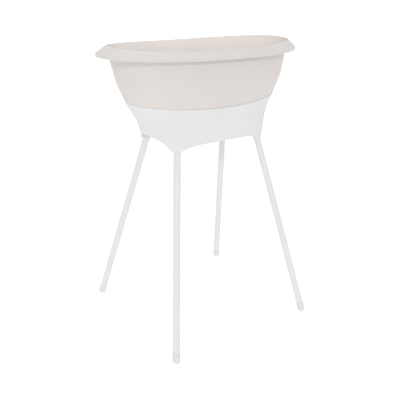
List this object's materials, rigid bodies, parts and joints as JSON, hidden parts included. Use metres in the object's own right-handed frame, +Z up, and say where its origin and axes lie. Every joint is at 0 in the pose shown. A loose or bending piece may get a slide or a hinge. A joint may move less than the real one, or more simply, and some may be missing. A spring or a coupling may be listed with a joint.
{
  "type": "baby bathtub",
  "caption": "Oval baby bathtub with a wide rolled rim, standing at adult working height in a skirted cradle on splayed tube legs, with a plugged drain in its floor.",
  "frame": {"origin": "on the floor, under the middle of the tub", "axes": "+X along the tub's length towards the drain's end, +Y across it towards the rear legs, +Z up"},
  "size_m": [0.808, 0.6216, 1.0795],
  "materials": {
    "tub_plastic": "satin",
    "cradle_plastic": "satin",
    "leg_paint": "satin white powder coat",
    "foot_plastic": "fine matt",
    "drain_plastic": "gloss",
    "seal_rubber": "matt"
  },
  "bodies": {
    "stand": {"cradle_shell": "cradle_plastic"},
    "tub": {"tub_shell": "tub_plastic", "drain_body": "drain_plastic", "drain_gasket": "seal_rubber", "drain_lock_nut": "drain_plastic"},
    "plug": {"drain_plug": "drain_plastic", "drain_plug_seal": "seal_rubber"},
    "leg_front_left": {"leg_tube_front_left": "leg_paint", "leg_top_plug_front_left": "foot_plastic", "leg_foot_front_left": "foot_plastic"},
    "leg_front_right": {"leg_tube_front_right": "leg_paint", "leg_top_plug_front_right": "foot_plastic", "leg_foot_front_right": "foot_plastic"},
    "leg_rear_left": {"leg_tube_rear_left": "leg_paint", "leg_top_plug_rear_left": "foot_plastic", "leg_foot_rear_left": "foot_plastic"},
    "leg_rear_right": {"leg_tube_rear_right": "leg_paint", "leg_top_plug_rear_right": "foot_plastic", "leg_foot_rear_right": "foot_plastic"}
  },
  "joints": [
    {"name": "tub_lift", "type": "slide", "parent": "stand", "child": "tub", "axis": [0, 0, 1], "range_m": [0, 0.15]},
    {"name": "plug_pull", "type": "slide", "parent": "tub", "child": "plug", "axis": [0, 0, 1], "range_m": [0, 0.05]},
    {"name": "leg_front_left_pull", "type": "slide", "parent": "stand", "child": "leg_front_left", "axis": [-0.1705, -0.2545, -0.9519], "range_m": [0, 0.09]},
    {"name": "leg_front_right_pull", "type": "slide", "parent": "stand", "child": "leg_front_right", "axis": [0.1705, -0.2545, -0.9519], "range_m": [0, 0.09]},
    {"name": "leg_rear_left_pull", "type": "slide", "parent": "stand", "child": "leg_rear_left", "axis": [-0.1705, 0.2545, -0.9519], "range_m": [0, 0.09]},
    {"name": "leg_rear_right_pull", "type": "slide", "parent": "stand", "child": "leg_rear_right", "axis": [0.1705, 0.2545, -0.9519], "range_m": [0, 0.09]}
  ]
}
